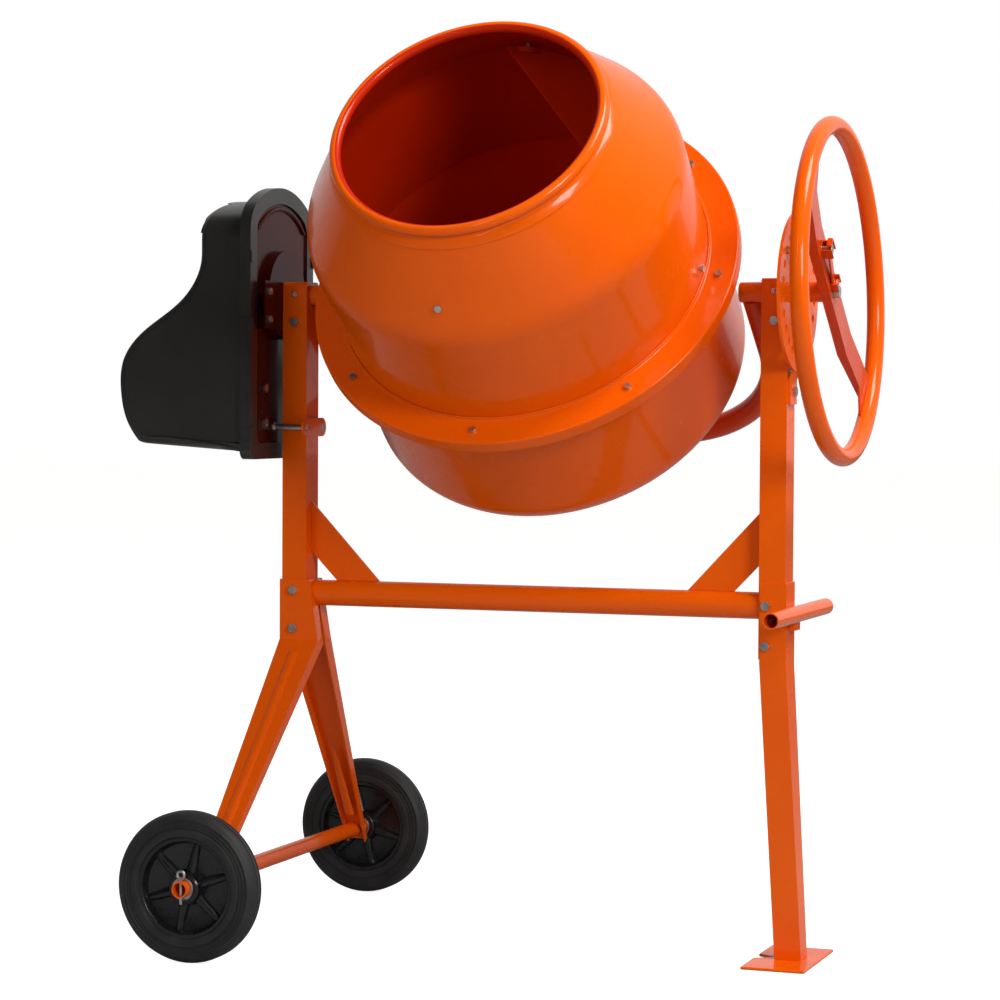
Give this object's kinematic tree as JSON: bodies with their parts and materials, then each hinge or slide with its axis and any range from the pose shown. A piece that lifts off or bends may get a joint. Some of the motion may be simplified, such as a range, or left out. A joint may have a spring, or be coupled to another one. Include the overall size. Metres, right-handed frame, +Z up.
{
  "type": "concrete mixer",
  "caption": "Wheeled concrete mixer with a tilting open drum on a tube frame, a hand wheel with a lock, and a black belt drive housing.",
  "frame": {"origin": "on the ground under the middle of the whole machine", "axes": "+Z up, +X from the drive housing to the hand wheel, -Y the side that the drum tips to"},
  "size_m": [1.0224, 0.7102, 1.2356],
  "materials": {
    "orange_paint": "glossy powder coat",
    "galvanised_steel": "zinc plated, satin",
    "black_plastic": "moulded, lightly grained",
    "black_plate": "glossy black",
    "rubber": "matt black rubber",
    "cast_metal": "as cast",
    "aluminium": "die cast",
    "belt_rubber": "matt black belt rubber",
    "spring_steel": "bright wire",
    "bronze": "sintered bronze",
    "green_plastic": "glossy green",
    "red_plastic": "glossy red",
    "contact_brass": "plated contact"
  },
  "bodies": {
    "frame": {"left_post": "orange_paint", "right_post": "orange_paint", "left_cap": "orange_paint", "right_cap": "orange_paint", "pivot_bushes": "bronze", "cross_tube": "orange_paint", "gussets": "orange_paint", "front_wheel_leg": "orange_paint", "rear_wheel_leg": "orange_paint", "axle_tube": "orange_paint", "axle_hardware": "galvanised_steel", "support_leg": "orange_paint", "foot_plate": "orange_paint", "transport_handle": "orange_paint", "handle_bracket": "orange_paint", "frame_bolts": "galvanised_steel", "grease_nipples": "galvanised_steel", "locking_disc": "orange_paint", "belt": "belt_rubber", "motor": "aluminium", "motor_studs": "galvanised_steel", "capacitor": "black_plastic", "housing_cover": "black_plastic", "back_plate": "black_plate", "mounting_bracket": "black_plate", "cover_clips": "black_plastic", "stay_rods": "galvanised_steel", "stay_strap": "orange_paint", "switch_box": "black_plastic", "inlet_pins": "contact_brass"},
    "front_wheel": {"front_tyre": "rubber", "front_rim": "black_plastic"},
    "rear_wheel": {"rear_tyre": "rubber", "rear_rim": "black_plastic"},
    "yoke": {"left_pivot_tube": "orange_paint", "right_pivot_tube": "orange_paint", "yoke_tube": "orange_paint", "bearing_housing": "orange_paint", "drum_bearings": "galvanised_steel", "shaft_bearings": "bronze", "hand_wheel_ring": "orange_paint", "hand_wheel_spoke": "orange_paint", "hub_bolt": "galvanised_steel", "latch_brackets": "orange_paint", "latch_spring": "spring_steel"},
    "drum": {"drum_bowl": "orange_paint", "upper_drum": "orange_paint", "guard_ring": "orange_paint", "ring_gear": "cast_metal", "drum_hub": "cast_metal", "mixing_blades": "orange_paint", "drum_bolts": "galvanised_steel"},
    "drive_shaft": {"pinion": "cast_metal", "drive_shaft": "galvanised_steel", "large_pulley": "cast_metal"},
    "motor_pulley": {"motor_pulley": "aluminium"},
    "latch_pin": {"latch_pin": "galvanised_steel"},
    "latch_lever": {"latch_lever": "orange_paint"},
    "on_button": {"on_button": "green_plastic"},
    "off_button": {"off_button": "red_plastic"}
  },
  "joints": [
    {"name": "drum_tilt", "type": "hinge", "parent": "frame", "child": "yoke", "pos_m": [0.066, 0.02, 0.885], "axis": [1, 0, 0], "range_deg": [-45, 75]},
    {"name": "drum_spin", "type": "hinge", "parent": "yoke", "child": "drum", "pos_m": [0.066, 0.02, 0.885], "axis": [0, -0.7837, 0.6211], "continuous": true},
    {"name": "drive_shaft_spin", "type": "hinge", "parent": "yoke", "child": "drive_shaft", "pos_m": [-0.234, 0.02, 0.885], "axis": [1, 0, 0], "continuous": true},
    {"name": "motor_spin", "type": "hinge", "parent": "frame", "child": "motor_pulley", "pos_m": [-0.33, 0.02, 0.743], "axis": [1, 0, 0], "continuous": true},
    {"name": "front_wheel_spin", "type": "hinge", "parent": "frame", "child": "front_wheel", "pos_m": [-0.301, -0.2835, 0.1], "axis": [0, 1, 0], "continuous": true},
    {"name": "rear_wheel_spin", "type": "hinge", "parent": "frame", "child": "rear_wheel", "pos_m": [-0.301, 0.3235, 0.1], "axis": [0, 1, 0], "continuous": true},
    {"name": "latch_pin_slide", "type": "slide", "parent": "yoke", "child": "latch_pin", "axis": [1, 0, 0], "range_m": [-0.006, 0]},
    {"name": "latch_lever_swing", "type": "hinge", "parent": "yoke", "child": "latch_lever", "pos_m": [0.489, 0.00746, 0.89494], "axis": [0, 0.6211, 0.7837], "range_deg": [-5.2, 0]},
    {"name": "on_button_press", "type": "slide", "parent": "frame", "child": "on_button", "axis": [0, -1, 0], "range_m": [0, 0.004], "stiffness_N_per_m": 300},
    {"name": "off_button_press", "type": "slide", "parent": "frame", "child": "off_button", "axis": [0, -1, 0], "range_m": [0, 0.004], "stiffness_N_per_m": 300}
  ],
  "couplings": [
    {"joint": "drive_shaft_spin", "follows": "drum_spin", "ratio": 10},
    {"joint": "motor_spin", "follows": "drum_spin", "ratio": 46.667},
    {"joint": "latch_lever_swing", "follows": "latch_pin_slide", "rad_per_m": 14.725}
  ]
}
